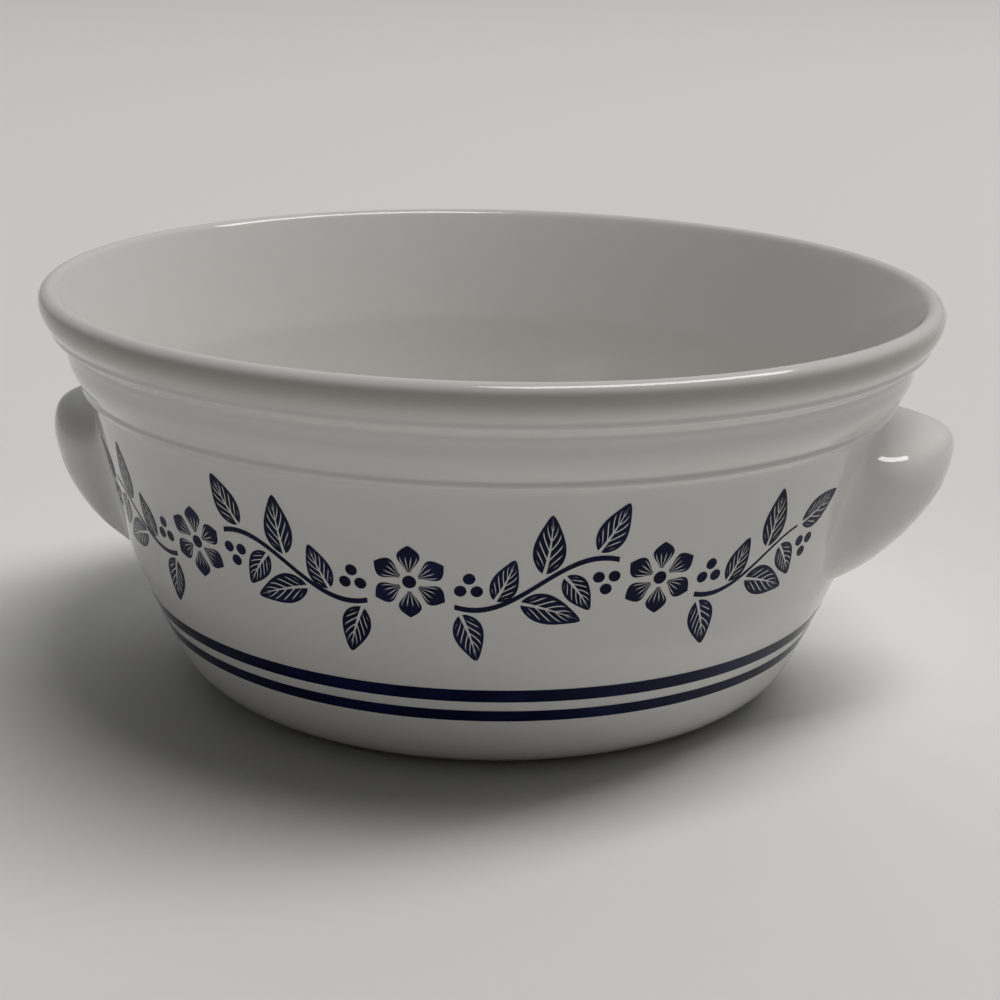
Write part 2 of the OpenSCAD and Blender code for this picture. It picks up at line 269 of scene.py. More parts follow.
def outline_outside():
    """The line from the foot ring to the inner side of the rim's edge."""
    foot_deg = math.degrees(foot_a)
    wall_deg = math.degrees(wall_a)
    tangent = belt_r * math.tan((foot_a - wall_a) / 2)
    belt_low = np.array([turn_r, belt_h]) - tangent * np.array(
        [math.sin(foot_a), math.cos(foot_a)])
    belt_centre = belt_low - belt_r * np.array([math.cos(foot_a), -math.sin(foot_a)])
    bead_r = bead_t / 2
    half = ridge_t / 2
    low_root = ridge_low_r - ridge_proud
    high_root = ridge_r - ridge_proud
    collar_low = np.array([collar_r - groove_deep, collar_z + bead_t])
    collar_top = np.array([low_root, ridge_low_z - half])
    step_low = np.array([low_root, ridge_low_z + half])
    step_top = np.array([high_root, ridge_z - half])
    edge_z = bowl_h - lip_r
    return np.concatenate([
        arc([foot_r, corner_r], corner_r, -90, -foot_deg),
        arc(belt_centre, belt_r, -foot_deg, -wall_deg),
        [[wall_top_r, collar_z]],
        arc([collar_r - bead_r, collar_z + bead_r], bead_r, BEAD_LOW_ANGLE,
            BEAD_HIGH_ANGLE),
        bow(collar_low, (collar_low + collar_top) / 2 + [collar_full, 0], collar_top),
        arc([ridge_low_r - half, ridge_low_z], half, -RIDGE_ANGLE, RIDGE_ANGLE),
        bow(step_low, (step_low + step_top) / 2 + [-groove_deep, groove_deep], step_top),
        arc([ridge_r - half, ridge_z], half, -RIDGE_ANGLE, RIDGE_ANGLE),
        bow(np.array([high_root, ridge_z + half]), np.array([rim_r, edge_z - rim_full]),
            np.array([rim_r, edge_z])),
        lip_arc(),
    ])


outside = outline_outside()
print(f"outside: {len(outside)} points, from the foot to {outside[:, 1].max() / MM:.1f} mm")

# %% [markdown]
# ## Inside and underside
# The inside follows the wall at the clay's thickness. It flares out to the rim at the top
# and sweeps round into the floor at the bottom. Nobody sees much of the underside, yet the
# bowl can be turned over: it has a shallow recess inside its foot ring.

# %% Outline of the inside and the underside
def outer_wall_r(z):
    """Radius of the upper slope at height z: a straight cone."""
    return turn_r + (z - belt_h) * math.tan(wall_a)


def outline_inside():
    """The line from the rim down the inside to the middle of the floor."""
    gap = wall_t / math.cos(wall_a)
    lip_turn = math.radians(LIP_IN_ANGLE)
    lip_end = np.array([rim_r - lip_r, bowl_h - lip_r]) + lip_r * np.array(
        [math.cos(lip_turn), math.sin(lip_turn)])
    bend = np.array([outer_wall_r(bend_z) - gap, bend_z])
    pull = (lip_end + bend) / 2 + flare_full * np.array([-1, 1])
    sweep_z = inner_floor_z + floor_r
    tangent_z = sweep_z - floor_r * math.sin(wall_a)
    sweep_r = outer_wall_r(tangent_z) - gap - floor_r * math.cos(wall_a)
    return np.concatenate([
        bow(lip_end, pull, bend),
        arc([sweep_r, sweep_z], floor_r, -math.degrees(wall_a), -90),
        [[0, inner_floor_z]],
    ])


def outline_underside():
    """The line from the middle of the underside to the inner edge of the foot ring."""
    ring_in = foot_r - foot_w
    return np.array([[0, foot_deep], [ring_in - foot_deep, foot_deep], [ring_in, 0]])


clay_line = np.concatenate([outline_underside(), outside, outline_inside()])
print(f"clay outline of {len(clay_line)} points")

# %% [markdown]
# ## Glaze over the outline
# The clay's own corners are crisp, and the glaze rounds them. A bevel would round each
# corner alike, but glaze also fills the grooves. So the whole line is blurred along its
# length by about a glaze's thickness, which does both at once.

# %% Glazed outline
GLAZE_FILL = 0.54 * MM
FINE_STEP = 0.05 * MM
BELL_REACH = 4


def even_steps(line, step):
    """The same line with its points a step apart, by its length from the start."""
    gaps = np.linalg.norm(np.diff(line, axis=0), axis=1)
    line = line[np.concatenate([[True], gaps > 0])]
    length = np.concatenate([[0], np.cumsum(gaps[gaps > 0])])
    at = np.linspace(0, length[-1], int(length[-1] / step))
    return np.stack([np.interp(at, length, column) for column in line.T], axis=-1)


def softened(line, spread, step):
    """The line blurred along its length with a bell curve as wide as the spread. Each end is
    carried on as its own mirror image, so the two end points stay where they are."""
    reach = int(BELL_REACH * spread / step)
    bell = np.exp(-0.5 * (np.arange(-reach, reach + 1) * step / spread) ** 2)
    bell /= bell.sum()
    before = 2 * line[0] - line[reach:0:-1]
    after = 2 * line[-1] - line[-2:-reach - 2:-1]
    padded = np.concatenate([before, line, after])
    return np.stack([np.convolve(c, bell, mode="valid") for c in padded.T], axis=-1)


glazed_line = softened(even_steps(clay_line, FINE_STEP), GLAZE_FILL, FINE_STEP)
going_up = (glazed_line[:, 0] > foot_r) & (np.arange(len(glazed_line)) <
                                           np.argmax(glazed_line[:, 0]))


def wall_at(z):
    """Radius of the bowl's outside at height z, read from the glazed line."""
    return np.interp(z, glazed_line[going_up, 1], glazed_line[going_up, 0])


print(f"glazed outline of {len(glazed_line)} points, widest radius "
      f"{glazed_line[:, 0].max() / MM:.2f} mm")

# %% [markdown]
# ## The bowl's body
# A full turn of that fine line would need millions of faces. Points are only needed where
# the line bends, so they are shared out by how much it bends, with a few for the straight
# stretches. The same bending says how the glaze lies: it runs thin over edges, which turn
# outwards, and gathers in grooves. Both are kept as attributes for the finish to read.

# %% Body of the bowl
BODY_ROWS = 262
BODY_AROUND = 360
CALM_SHARE = 0.16
FULL_BEND = 0.8 / MM
RIM_FACE_DROP = 2 * MM
RIM_FACE_ABOVE = 0.9 * MM
RIM_FACE_BELOW = 3.2 * MM


def bending(line):
    """How fast a line turns: the change of its direction for each metre of its length, over
    zero where it turns round an outer edge."""
    step = np.gradient(line, axis=0)
    direction = np.unwrap(np.arctan2(step[:, 1], step[:, 0]))
    return np.gradient(direction) / np.linalg.norm(step, axis=1)


def shared_out(line, count):
    """Numbers of the line's points to keep, so that each kept stretch has a like sum of
    bending and length."""
    weight = CALM_SHARE + np.abs(bending(line)) * MM
    total = np.concatenate([[0], np.cumsum(weight)[:-1]])
    wanted = np.linspace(0, total[-1], count)
    return np.unique(np.round(np.interp(wanted, total, np.arange(len(line)))).astype(int))


def turned(line, around, closed=False):
    """A line of (radius, height) carried round Z: x = r cos t and y = r sin t, for even
    steps of t over a full turn. A closed line joins its last row to its first."""
    t = np.linspace(0, 2 * np.pi, around, endpoint=False)
    radius, height = line[:, :1], line[:, 1:]
    points = np.stack(np.broadcast_arrays(
        radius * np.cos(t), radius * np.sin(t), height), axis=-1).reshape(-1, 3)
    return points, grid_quads(len(line), around, rows_close=closed, columns_close=True)


def rim_dark_band(line):
    """Share of a darker band in the glaze's colour: one on the outer face a little below the
    rim's crest. It fades away as a bell curve of the height, and more slowly below than above."""
    off = line[:, 1] - bowl_h + RIM_FACE_DROP
    spread = np.where(off > 0, RIM_FACE_ABOVE, RIM_FACE_BELOW)
    return np.exp(-(off / spread) ** 2) * (line[:, 0] > rim_r - lip_r)


kept = shared_out(glazed_line, BODY_ROWS)
bend = np.clip(bending(glazed_line)[kept] / FULL_BEND, -1, 1)
body_points, body_quads = turned(glazed_line[kept], BODY_AROUND)
body = piece_from("body_surface", body_points, body_quads, {
    "edge": np.repeat(np.maximum(bend, 0), BODY_AROUND),
    "groove": np.repeat(np.maximum(-bend, 0), BODY_AROUND),
    # share of the darker band laid into the colour on the rim's outer face
    "rim": np.repeat(rim_dark_band(glazed_line[kept]), BODY_AROUND),
})

# %% [markdown]
# ## The lugs
# A lug is a solid ear of clay, much wider than it is deep, that sits close under the collar
# and sweeps down and back to the wall. How wide and tall it is, and how much lower the left
# one sits, is read from the frame.

# %% Sizes of the lugs
lug_deep = 13 * MM
lug_shoulder = 7.7 * MM
lug_flare = 3.7 * MM
lug_top_flare = 1.8 * MM

right_low, right_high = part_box("right_lug")
_, left_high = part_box("left_lug")
lug_half = right_high.y - lug_flare
lug_tip_z = right_high.z - lug_top_flare - lug_shoulder
lug_fall = lug_tip_z - right_low.z
print(f"lug {2 * lug_half / MM:.1f} mm wide, tip at {lug_tip_z / MM:.1f} mm, "
      f"left one {(right_high.z - left_high.z) / MM:.1f} mm lower")

# %% [markdown]
# ## Rounded by powers
# A thrown form is rounder than a box and squarer than an ellipse. A superellipse covers all
# of that with one number, its power: 2 is an ellipse, and more is squarer.

# %% Curves of the lugs
def kept_share(share, power):
    """Share of its full size that a rounded form keeps at a share of its reach: the height
    of a superellipse, (1 - share ^ power) ^ (1 / power)."""
    return np.maximum(1 - share ** power, 0) ** (1 / power)


def hollow_at(out, radius):
    """How much a hollow of that radius adds at a distance out from the wall: what a quarter
    of a circle leaves, from the whole radius at the wall down to nothing."""
    left = np.clip(radius - out, 0, radius)
    return radius - np.sqrt(radius ** 2 - left ** 2)


print(f"at the wall a hollow adds {hollow_at(0, lug_flare) / MM:.1f} mm to each side and "
      f"{hollow_at(0, lug_top_flare) / MM:.1f} mm to the top")

# %% [markdown]
# ## The surface of a lug
# Each lug is a stack of loops: a loop at distance u from the wall follows the wall's own
# curve, and its width, its height above the tip and its depth below it shrink with u by
# rounded curves. Near the wall the side and the top grow along a hollow, which lies flat on
# the wall where it ends, so light runs smoothly from the wall to the lug.

# %% Lugs
LUG_AROUND = 216
FLARE_STEPS = 18
NOSE_STEPS = 54
SEAT_STEPS = 14
SEAT_DEEP = 0.4 * MM
TOP_POWER = 4.6
SWEEP_POWER = 1.43
SIDE_POWER = 2.25
CROWN_POWER = 4.8
CROWN_TIP_POWER = 1.9
HEEL_POWER = 4.3


def lug_surface(lower):
    """Grid of a lug's points: one row a loop, from the middle of its seat in the wall out to
    the seat's edge, along the hollow, and on to the tip. Lower is how far it sits below."""
    flare_u = lug_flare * (1 - np.cos(np.linspace(0, np.pi / 2, FLARE_STEPS)))
    nose_u = lug_flare + (lug_deep - lug_flare) * np.sin(
        np.linspace(0, np.pi / 2, NOSE_STEPS)[1:])
    out = np.concatenate([flare_u, nose_u])
    rows_u = np.concatenate([np.full(SEAT_STEPS + 1, -SEAT_DEEP), out])[:, None]
    drawn_in = np.concatenate([np.linspace(0, 1, SEAT_STEPS + 1), np.ones(len(out))])[:, None]
    out_u = np.maximum(rows_u, 0)
    share = out_u / lug_deep
    wide = lug_half * kept_share(share, SIDE_POWER) + hollow_at(out_u, lug_flare)
    angle = np.linspace(0, 2 * np.pi, LUG_AROUND, endpoint=False)[None, :]
    crown = CROWN_POWER + (CROWN_TIP_POWER - CROWN_POWER) * np.sqrt(share)
    power = np.where(np.sin(angle) > 0, crown, HEEL_POWER)
    squared = (np.abs(np.cos(angle)) ** power + np.abs(np.sin(angle)) ** power) ** (-1 / power)
    top = lug_shoulder * kept_share(share, TOP_POWER) + hollow_at(out_u, lug_top_flare)
    reach = np.where(np.sin(angle) > 0, top, lug_fall * kept_share(share, SWEEP_POWER))
    y = drawn_in * wide * squared * np.cos(angle)
    z = lug_tip_z - lower + drawn_in * reach * squared * np.sin(angle)
    x = np.sqrt(wall_at(z) ** 2 - y ** 2) + rows_u
    return np.stack([x, y, z], axis=-1)


def lug_piece(name, side, lower):
    """One lug. Side is 1 on the right and -1 on the left, where it is turned half round."""
    grid = lug_surface(lower) * np.array([side, side, 1])
    rows, columns = grid.shape[:2]
    no_bend = np.zeros(rows * columns)
    return piece_from(name, grid.reshape(-1, 3), grid_quads(rows, columns, columns_close=True),
                      {"edge": no_bend, "groove": no_bend, "rim": no_bend})


right_lug = lug_piece("right_lug_surface", 1, 0)
left_lug = lug_piece("left_lug_surface", -1, right_high.z - left_high.z)

# %% [markdown]
# ## Print on a curved wall
# The colour is printed from a thin transfer, laid on by hand under the glaze. A flat drawing
# can be wrapped round the wall as an image, but a mesh keeps crisp edges at any distance.
# So each printed shape is a grid in the plane of the drawing, carried straight back on to
# the wall. It gets a top just proud of the glaze, an underside just inside it, and a rim
# all round, and so is a thin closed slab.

# %% Slabs of print
PRINT_PROUD = 0.05 * MM
PRINT_SUNK = 0.04 * MM
GARLAND_STEP = math.radians(33)
garland_drop = 16.35 * MM
garland_z = collar_z - garland_drop
step_half = outer_wall_r(garland_z) * math.sin(GARLAND_STEP / 2)
print(f"garland at {garland_z / MM:.1f} mm, half a step is {step_half / MM:.1f} mm")


def on_wall(flat, around, proud):
    """Points of a flat drawing at x, y carried on to the wall: the height is y above the
    garland's middle, the depth is what the wall's circle leaves at x, and the whole is then
    turned round the bowl. The wall's radius is first widened by how proud the print is."""
    z = garland_z + flat[..., 1]
    radius = wall_at(z) + proud / math.cos(wall_a)
    x = flat[..., 0]
    y = -np.sqrt(radius ** 2 - x ** 2)
    return np.stack([x * math.cos(around) - y * math.sin(around),
                     x * math.sin(around) + y * math.cos(around), z], axis=-1)


def slab(flat, around):
    """A thin closed slab from a flat grid: its top, its underside, and a rim that joins the
    borders of both. Each point of the grid is x, y and its two shares of the drawn shape,
    which the slab keeps for the finish."""
    rows, columns = flat.shape[:2]
    top = on_wall(flat, around, PRINT_PROUD).reshape(-1, 3)
    under = on_wall(flat, around, -PRINT_SUNK).reshape(-1, 3)
    faces = grid_quads(rows, columns)
    number = np.arange(rows * columns).reshape(rows, columns)
    border = np.concatenate([number[0, :-1], number[:-1, -1], number[-1, :0:-1],
                             number[:0:-1, 0]])
    after = np.roll(border, -1)
    rim = np.stack([border, after, after + rows * columns, border + rows * columns], axis=-1)
    place = flat[..., 2:].reshape(-1, 2)
    return (np.concatenate([top, under]),
            np.concatenate([faces, faces[:, ::-1] + rows * columns, rim]),
            np.concatenate([place, place]))


def printed_piece(name, slabs):
    """One piece from many slabs, with each slab's own place as the pattern's coordinates."""
    counts = np.cumsum([0] + [len(points) for points, _, _ in slabs])
    return piece_from(
        name,
        np.concatenate([points for points, _, _ in slabs]),
        np.concatenate([faces + start for (_, faces, _), start in zip(slabs, counts)]),
        {"sheet": np.concatenate([place for _, _, place in slabs])},
    )


# %% [markdown]
# ## The bands
# The two bands were run on with the bowl turning, so each is a ring of even width. The ring
# is a closed strip of the wall's line, a little proud of the glaze, turned round the axis.
# Its heights come from the frame.

# %% Bands
BAND_ROWS = 9
BAND_AROUND = 480


def band_piece(name, node):
    """A ring from the node's lowest to its highest point, as a closed line turned round Z:
    the wall's radius plus a little on the way up, and less a little on the way down."""
    low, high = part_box(node)
    z = np.linspace(low.z, high.z, BAND_ROWS)
    wall = wall_at(z)
    front = np.stack([wall + PRINT_PROUD / math.cos(foot_a), z], axis=-1)
    back = np.stack([wall - PRINT_SUNK / math.cos(foot_a), z], axis=-1)[::-1]
    points, quads = turned(np.concatenate([front, back]), BAND_AROUND, closed=True)
    across = np.concatenate([np.linspace(0, 1, BAND_ROWS), np.linspace(1, 0, BAND_ROWS)])
    along = np.linspace(0, 1, BAND_AROUND, endpoint=False)
    sheet = np.stack(np.meshgrid(across, along, indexing="ij")[::-1], axis=-1).reshape(-1, 2)
    print(f"{node} is {(high.z - low.z) / MM:.2f} mm high")
    return piece_from(name, points, quads, {"sheet": sheet})


upper_band = band_piece("upper_band_print", "upper_band")
lower_band = band_piece("lower_band_print", "lower_band")

# %% [markdown]
# ## The garland's drawing
# The garland runs along a wave that repeats in steps. Each of its shapes is a grid too, along
# its length and across its width, and is drawn flat, turned to the slope of the wave and
# moved to its place. Only then is it carried on to the wall.

# %% Flat drawing
WAVE_H = 4.4 * MM
INK_GAP = 0.6 * MM
FLOWER_D = 12.6 * MM
ALONG = 33
ACROSS = 9
UP = 90


def wave(x):
    """Height of the stem at x: one full wave over a step."""
    return WAVE_H * np.sin(np.pi * x / step_half)


def wave_turn(x):
    """Slope of the stem at x, as an angle in degrees."""
    slope = WAVE_H / step_half * math.pi * math.cos(math.pi * x / step_half)
    return math.degrees(math.atan(slope))


def placed(flat, turn, x, y):
    """A flat drawing turned by an angle in degrees and then moved."""
    c, s = math.cos(math.radians(turn)), math.sin(math.radians(turn))
    moved = flat[..., :2] @ np.array([[c, s], [-s, c]]) + np.array([x, y])
    return np.concatenate([moved, flat[..., 2:]], axis=-1)


def flipped(flat, x_side, y_side):
    """A flat drawing mirrored where a side is -1."""
    return flat * np.array([x_side, y_side, 1, 1])


def between(first, last, columns):
    """A grid whose rows run straight from each point of one line to that of another. With
    each point go its shares of the way along and across."""
    along = np.linspace(0, 1, len(first))[:, None, None]
    across = np.linspace(0, 1, columns)[None, :, None]
    flat = first[:, None, :] * (1 - across) + last[:, None, :] * across
    shares = np.broadcast_arrays(along, across)
    return np.concatenate([flat, *shares], axis=-1)


def all_steps(grids_of_step):
    """Slabs of one drawing in its four steps, two to the right and two mirrored."""
    slabs = []
    for free, around in ((False, GARLAND_STEP / 2), (True, 1.5 * GARLAND_STEP)):
        for grid in grids_of_step(free):
            slabs.append(slab(grid, around))
            slabs.append(slab(flipped(grid, -1, 1), -around))
    return slabs


print(f"wave of {WAVE_H / MM:.1f} mm, as steep as {wave_turn(0):.0f} degrees")

# %% [markdown]
# ## Leaves
# Leaves stand on both sides of the stem, each with its own size and turn, as an engraver
# would vary them. A leaf is two halves that meet at its tip, so that the white of the bowl
# shows between them as its vein. It could be a flat outline filled with faces, but as a
# grid it also knows where its side veins go.

# %% Leaves
STEM_W = 0.9 * MM
STEM_END_SHARE = 0.4
LEAF_LEN = 10.6 * MM
LEAF_W = 5.2 * MM
VEIN_W = 0.6 * MM
LEAF_BEND_SHARE = 0.14
LEAF_BELLY_SHARE = 0.72
LEAF_ROOT_SHARE = 0.06
LEAF_TIP_POWER = 40
SLIM_SHARE = 0.35
END_LEAF_SHARE = 0.95
END_LEAF_TURN = 8
leaf_place_shares = [-0.6, -0.33, -0.18, 0.06, 0.18, 0.46]
leaf_size_shares = [0.86, 0.76, 1, 1, 0.72, 0.9]
leaf_sides = [-1, 1, -1, 1, -1, 1]
leaf_turns = [50, 40, 42, 42, 78, 48]


def half_leaf(length, width, side):
    """Half of a leaf along x: from a line beside the vein out to an edge that swells as a
    sine of t to a power, both on a midrib that bends by the square of t."""
    t = np.linspace(0, 1, ALONG)
    along = length * (LEAF_ROOT_SHARE + (1 - LEAF_ROOT_SHARE) * t)
    rib = LEAF_BEND_SHARE * along ** 2 / length
    inner = VEIN_W / 2 * (1 - t)
    belly = (width - VEIN_W) / 2 * np.sin(np.pi * t ** LEAF_BELLY_SHARE)
    outer = VEIN_W / 2 * (1 - t ** LEAF_TIP_POWER) + belly
    return between(np.stack([along, rib + side * inner], axis=-1),
                   np.stack([along, rib + side * outer], axis=-1), ACROSS)


def leaf_at(x, off, turn, length, width, side):
    """Both halves of a leaf that springs from the stem at x, on one side of it."""
    stem_turn = wave_turn(x)
    root = placed(np.array([0, off]), stem_turn, x, wave(x))
    return [placed(flipped(half_leaf(length, width, half), 1, side), stem_turn + turn, *root)
            for half in (-1, 1)]


def leaf_grids(free):
    """All the leaves of one step. A step that ends free has one at its tip in place of the
    last one."""
    grids = []
    along_stem = len(leaf_place_shares) - free
    for share, size, side, turn in zip(leaf_place_shares[:along_stem], leaf_size_shares,
                                       leaf_sides, leaf_turns):
        width = LEAF_W * (SLIM_SHARE + (1 - SLIM_SHARE) * size)
        grids += leaf_at(share * step_half, side * (STEM_W + INK_GAP) / 2, side * turn,
                         LEAF_LEN * size, width, side)
    if free:
        grids += leaf_at(step_half * STEM_END_SHARE + INK_GAP, 0, END_LEAF_TURN,
                         LEAF_LEN * END_LEAF_SHARE, LEAF_W, 1)
    return grids


leaves = printed_piece("leaf_print", all_steps(leaf_grids))

# %% [markdown]
# ## Stems
# The stem of each step is a ribbon along the wave. It stops short of the flowers, and at the
# garland's two free ends it stops early and grows thin towards the last leaf.

# %% Stems
STEM_TIP_SHARE = 0.4
STEM_ALONG = 81


def stem_grids(free):
    """The stem of one step: a ribbon along the wave, thinner towards a free end."""
    start = -step_half + FLOWER_D / 2 + INK_GAP
    end = step_half * STEM_END_SHARE if free else -start
    t = np.linspace(0, 1, STEM_ALONG)
    x = start + (end - start) * t
    half = STEM_W / 2 * (1 - (1 - STEM_TIP_SHARE) * t if free else np.ones_like(t))
    return [between(np.stack([x, wave(x) - half], axis=-1),
                    np.stack([x, wave(x) + half], axis=-1), ACROSS)]


stems = printed_piece("stem_print", all_steps(stem_grids))

# %% [markdown]
# ## Berries
# Three berries fill each hollow of the wave. A dot is a grid of rings round its middle. The
# slab puts a rim along all four borders of that grid, so a dot keeps a wall inside it where
# its full turn closes. Its top and underside hide that wall.

# %% Berries
BERRY_D = 1.9 * MM
BERRY_OFF = 4 * MM
DISC_AROUND = 33
THIRD_TURN = 120
berry_place_shares = [-0.54, 0.55]
berry_sides = [1, -1]


def disc_grid(diameter, x, y):
    """A round dot as a grid: rings from the middle out, each a full turn. Its share across
    goes from a half in the middle to one at the edge."""
    share = np.linspace(0, 1, ACROSS)[:, None]
    t = np.linspace(0, 2 * np.pi, DISC_AROUND)[None, :]
    flat = [x + share * diameter / 2 * np.cos(t), y + share * diameter / 2 * np.sin(t),
            np.ones_like(t), (1 + share) / 2]
    return np.stack(np.broadcast_arrays(*flat), axis=-1)


def berry_grids(free):
    """Berries in threes, in the hollows of the wave. They are the same in every step."""
    apart = (BERRY_D + INK_GAP) / math.sqrt(3)
    grids = []
    for share, side in zip(berry_place_shares, berry_sides):
        x = share * step_half
        y = wave(x) + side * BERRY_OFF
        for turn in (-THIRD_TURN, 0, THIRD_TURN):
            angle = math.radians(side * UP + turn)
            grids.append(disc_grid(BERRY_D, x + apart * math.cos(angle),
                                   y + apart * math.sin(angle)))
    return grids


berries = printed_piece("berry_print", all_steps(berry_grids))

# %% [markdown]
# ## Flowers
# A six-petalled flower covers each place where one wave meets the next. Its petals leave a
# ring of white round the dot in their middle, and thin gaps between them.

# %% Flowers
FLOWER_EYE = 2.2 * MM
PETALS = 6
PETAL_W_SHARE = 0.8
PETAL_BELLY_SHARE = 1.35


def flower_grids():
    """A flower: petals whose halves swell as a sine of t to a power, round a dot."""
    start = FLOWER_EYE / 2 + INK_GAP
    reach = FLOWER_D / 2 - start
    wide = PETAL_W_SHARE * 2 * math.pi * (start + reach / 2) / PETALS
    t = np.linspace(0, 1, ALONG)
    half = wide / 2 * np.sin(np.pi * t ** PETAL_BELLY_SHARE) + (1 - t) * INK_GAP / 2
    petal = between(np.stack([start + reach * t, -half], axis=-1),
                    np.stack([start + reach * t, half], axis=-1), ACROSS)
    turns = UP + np.linspace(0, 360, PETALS, endpoint=False)
    return [disc_grid(FLOWER_EYE, 0, 0)] + [placed(petal, turn, 0, 0) for turn in turns]


flowers = printed_piece("flower_print", [slab(grid, turn) for grid in flower_grids()
                                         for turn in (-GARLAND_STEP, 0, GARLAND_STEP)])

# %% [markdown]
# ## Helpers for finishes
# A finish is a small network of nodes. Two helpers keep the networks short: one starts a
# material, and the other makes a node and fills its sockets.

# %% Node helpers
def finish(name):
    """A new material with a Principled shader joined to its output."""
    material = bpy.data.materials.new(name)
    material.use_nodes = True
    tree = material.node_tree
    tree.nodes.clear()
    output = tree.nodes.new("ShaderNodeOutputMaterial")
    shader = tree.nodes.new("ShaderNodeBsdfPrincipled")
    tree.links.new(shader.outputs["BSDF"], output.inputs["Surface"])
    return material, tree, shader


def made(tree, kind, output, settings=None, **sockets):
    """A node with its settings and sockets filled, from numbers or from other outputs. It
    returns the output that is named. Spaces in socket names are written as underscores."""
    node = tree.nodes.new(kind)
    for label, value in (settings or {}).items():
        setattr(node, label, value)
    for label, value in sockets.items():
        socket = node.inputs[int(label[1:])] if label[0] == "_" else node.inputs[
            label.replace("_", " ")]
        if isinstance(value, bpy.types.NodeSocket):
            tree.links.new(value, socket)
        else:
            socket.default_value = value
    return node.outputs[output]


def calc(tree, operation, first, second=0.0):
    """One sum on two values."""
    return made(tree, "ShaderNodeMath", "Value", {"operation": operation}, _0=first, _1=second)


def ramp(tree, value, start, end):
    """Goes smoothly from 0 where the value is start to 1 where it is end."""
    return made(tree, "ShaderNodeMapRange", "Result", {"interpolation_type": "SMOOTHSTEP"},
                Value=value, From_Min=start, From_Max=end)


def mixed(tree, share, first, second):
    """A colour between two others."""
    return made(tree, "ShaderNodeMix", 2, {"data_type": "RGBA"}, _0=share, _6=first, _7=second)


print("every finish starts from", bpy.types.ShaderNodeBsdfPrincipled.bl_rna.name)

# %% [markdown]
# ## Patterns
# Noise and dots are all the patterns that a glaze needs. They read Object coordinates, so
# they stay on the bowl from every side. What follows a shape, as an edge or a groove does,
# is read from an attribute of the piece.

# %% Patterns
FINE_DETAIL = 4.0
DOT_CORE_SHARE = 0.4


def place_of(tree):
    """The point on the piece, in the frame."""
    return made(tree, "ShaderNodeTexCoord", "Object")


def noise(tree, size, detail=2.0):
    """A soft noise from 0 to 1 whose patches are about as large as size."""
    return made(tree, "ShaderNodeTexNoise", "Fac", Vector=place_of(tree), Scale=1 / size,
                Detail=detail)


def stored(tree, label, output="Fac"):
    """An attribute of the piece."""
    return made(tree, "ShaderNodeAttribute", output, {"attribute_name": label})


def dots(tree, cell, radius, rarity):
    """Small round dots: 1 in a dot and 0 beside it, in one cell out of many."""
    cells = tree.nodes.new("ShaderNodeTexVoronoi")
    tree.links.new(place_of(tree), cells.inputs["Vector"])
    cells.inputs["Scale"].default_value = 1 / cell
    near = ramp(tree, cells.outputs["Distance"], radius / cell, DOT_CORE_SHARE * radius / cell)
    chosen = made(tree, "ShaderNodeSeparateColor", "Red", Color=cells.outputs["Color"])
    return calc(tree, "MULTIPLY", near, calc(tree, "GREATER_THAN", chosen, rarity))


print(f"a dot is full over {DOT_CORE_SHARE:.0%} of its radius and fades beyond that")

# %% [markdown]
# ## The glaze's surface
# A fired glaze is glass. It is nearly a mirror, but not flat: it flowed, so its reflections
# wander a little, and it has the fine orange peel of bubbles that closed. A few pinholes
# stay open. All of that is height, so three bumps do it, and the print uses the same ones,
# because the glaze lies over both. The gloss also changes a little from patch to patch.

# %% Glassy surface shared by glaze and print
GLAZE_IOR = 1.52
FLOW_SIZE = 17 * MM
FLOW_DETAIL = 1.0
FLOW_HEIGHT = 0.05 * MM
PEEL_SIZE = 1.3 * MM
PEEL_HEIGHT = 0.0016 * MM
PIT_CELL = 7 * MM
PIT_RADIUS = 0.22 * MM
PIT_DEPTH = 0.03 * MM
PIT_RARITY = 0.86
SMEAR_SIZE = 34 * MM
SMEAR_RAMP = (0.35, 0.75)
GLAZE_ROUGH = (0.05, 0.12)


def glassy(tree, shader, ior):
    """Gives the shader the gloss of the glaze, and returns the pinholes as a pattern."""
    shader.inputs["IOR"].default_value = ior
    pits = dots(tree, PIT_CELL, PIT_RADIUS, PIT_RARITY)
    flow = made(tree, "ShaderNodeBump", "Normal", Distance=FLOW_HEIGHT,
                Height=noise(tree, FLOW_SIZE, FLOW_DETAIL))
    peel = made(tree, "ShaderNodeBump", "Normal", Distance=PEEL_HEIGHT,
                Height=noise(tree, PEEL_SIZE), Normal=flow)
    pitted = made(tree, "ShaderNodeBump", "Normal", {"invert": True}, Distance=PIT_DEPTH,
                  Height=pits, Normal=peel)
    tree.links.new(pitted, shader.inputs["Normal"])
    smeared = ramp(tree, noise(tree, SMEAR_SIZE, FINE_DETAIL), *SMEAR_RAMP)
    rough = made(tree, "ShaderNodeMapRange", "Result", Value=smeared, To_Min=GLAZE_ROUGH[0],
                 To_Max=GLAZE_ROUGH[1])
    tree.links.new(rough, shader.inputs["Roughness"])
    return pits


print(f"gloss from {GLAZE_ROUGH[0]} to {GLAZE_ROUGH[1]} rough, one pinhole in "
      f"{1 / (1 - PIT_RARITY):.0f} cells of {PIT_CELL / MM:.0f} mm")
